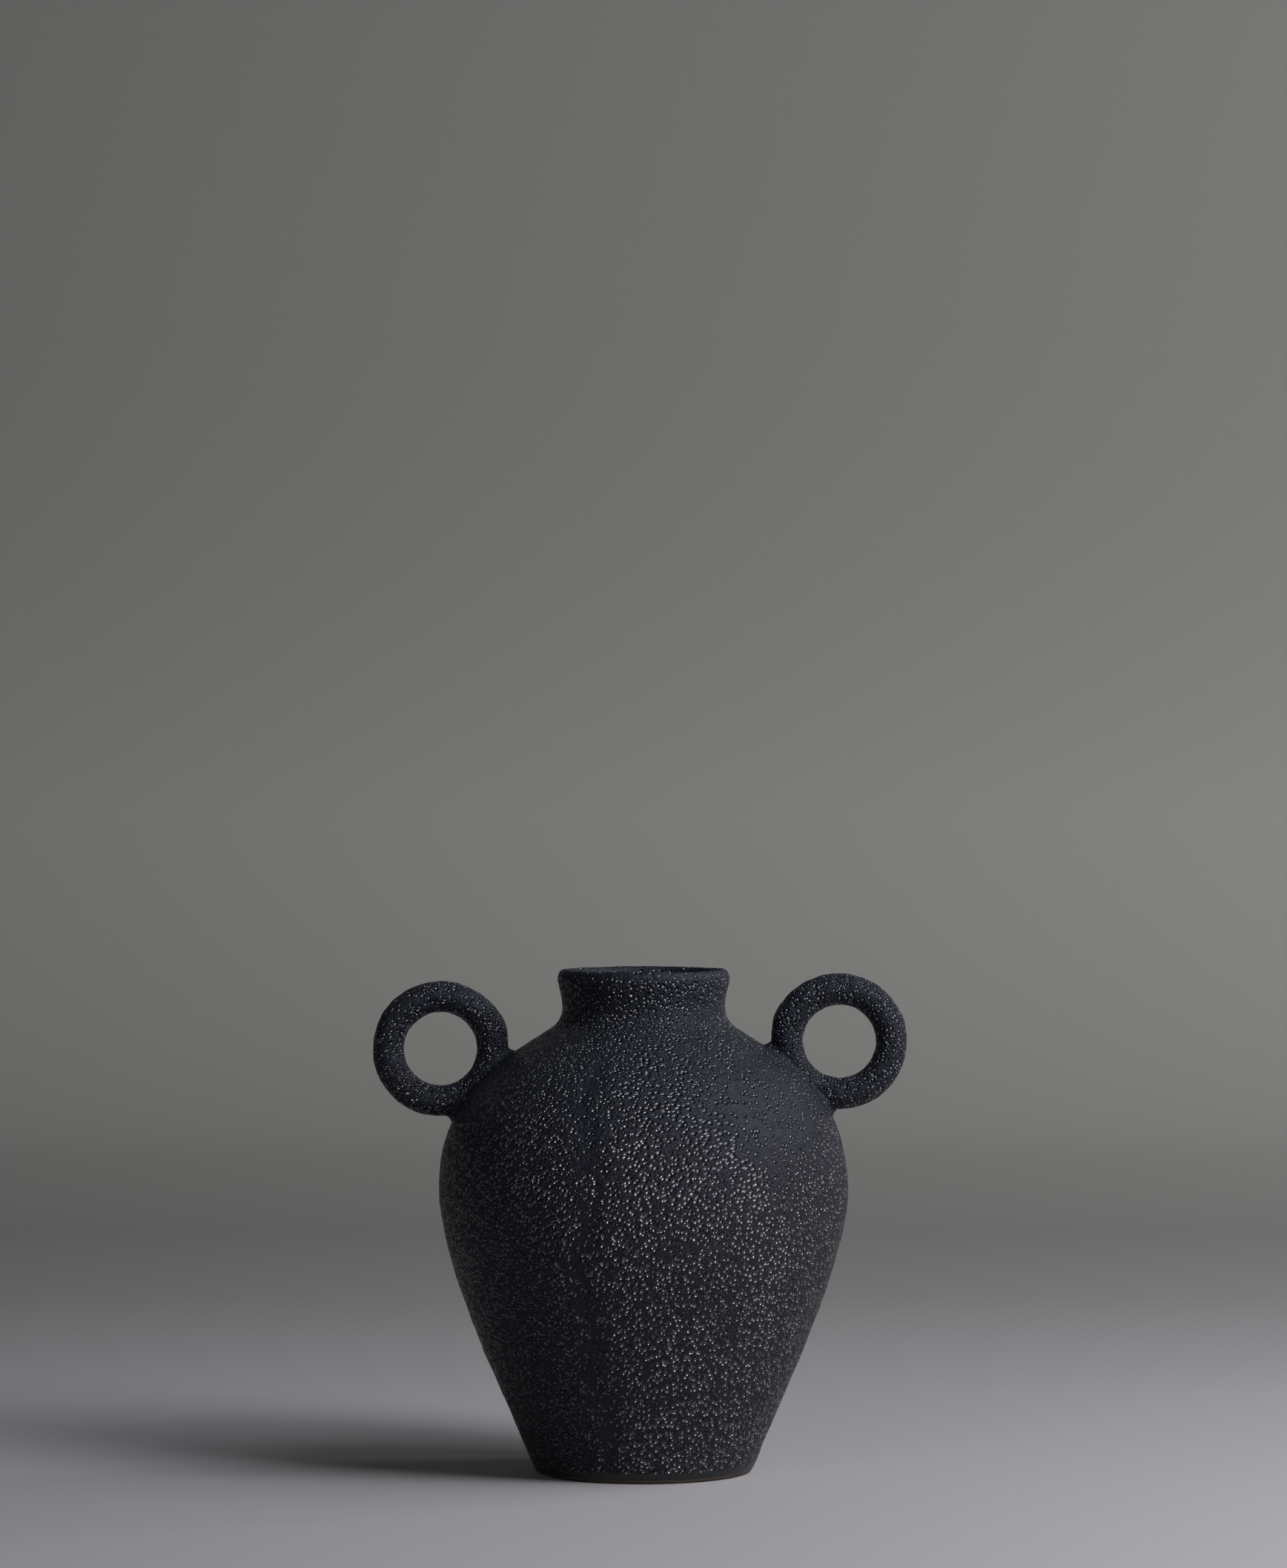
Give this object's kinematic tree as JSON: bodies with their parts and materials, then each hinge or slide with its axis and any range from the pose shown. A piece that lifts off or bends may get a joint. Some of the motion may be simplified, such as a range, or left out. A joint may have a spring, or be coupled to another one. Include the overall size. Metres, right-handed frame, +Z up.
{
  "type": "handled vase",
  "caption": "Wide-shouldered black stoneware vase on a narrow foot, with a short waisted neck, a rolled lip and closed ring handles on the shoulder.",
  "frame": {"origin": "centre of the foot, on the surface that the vase stands on", "axes": "+Z up through the neck, X through the two ring handles"},
  "size_m": [0.2665, 0.2036, 0.25],
  "materials": {
    "black_glaze": "satin black glaze over a pebbled, blistered surface",
    "bare_clay": "unglazed dark stoneware"
  },
  "bodies": {
    "root": {"foot_ring": "bare_clay", "base_slab": "bare_clay", "lower_wall": "black_glaze", "shoulder_wall": "black_glaze", "neck_collar": "black_glaze", "lip_ring": "black_glaze", "handle_left": "black_glaze", "handle_right": "black_glaze", "luting_left": "black_glaze", "luting_right": "black_glaze"}
  },
  "joints": []
}
